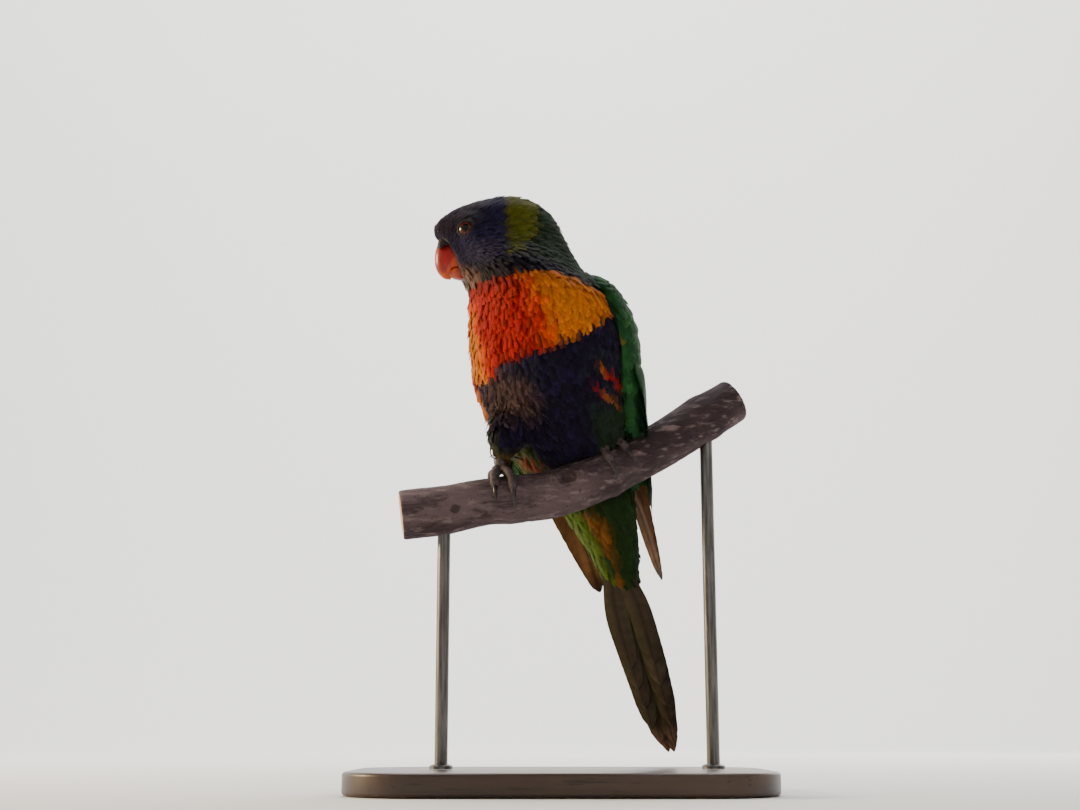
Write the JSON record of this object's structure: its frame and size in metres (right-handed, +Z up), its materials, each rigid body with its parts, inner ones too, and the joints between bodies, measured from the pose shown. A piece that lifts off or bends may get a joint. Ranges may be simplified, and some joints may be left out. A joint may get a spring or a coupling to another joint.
{
  "type": "rainbow lorikeet model",
  "caption": "Life-size still model of a perched rainbow lorikeet, chest to the viewer and head in profile, on a cut branch over a display stand.",
  "frame": {"origin": "centre of the underside of the stand's base, on the surface that it rests on", "axes": "+Z up, +X along the base towards the bird's left side, -Y towards the viewer that the breast faces"},
  "size_m": [0.19, 0.13, 0.276],
  "materials": {
    "plumage": "soft feathers in violet-blue, orange-red, yellow and green zones",
    "flight_feathers": "green vanes with dark inner webs and a faint sheen",
    "bill": "orange-red horn, satin, paler at the tip",
    "cere": "bare dark skin",
    "eye": "wet gloss, dark pupil in a red iris",
    "foot_skin": "grey scaly skin with dark claws",
    "bark": "smooth weathered grey-brown bark with cut ends",
    "stand_rod": "brushed steel",
    "stand_base": "dark stained wood, satin"
  },
  "bodies": {
    "root": {"perch": "bark", "torso": "plumage", "neck": "plumage", "head": "plumage", "bill_upper": "bill", "bill_lower": "bill", "cere": "cere", "tail": "flight_feathers", "eye_left": "eye", "eye_right": "eye", "wing_left": "flight_feathers", "wing_right": "flight_feathers", "leg_left": "plumage", "leg_right": "plumage", "foot_left": "foot_skin", "foot_right": "foot_skin", "stand_rod_1": "stand_rod", "stand_rod_2": "stand_rod", "stand_base": "stand_base"}
  },
  "joints": []
}
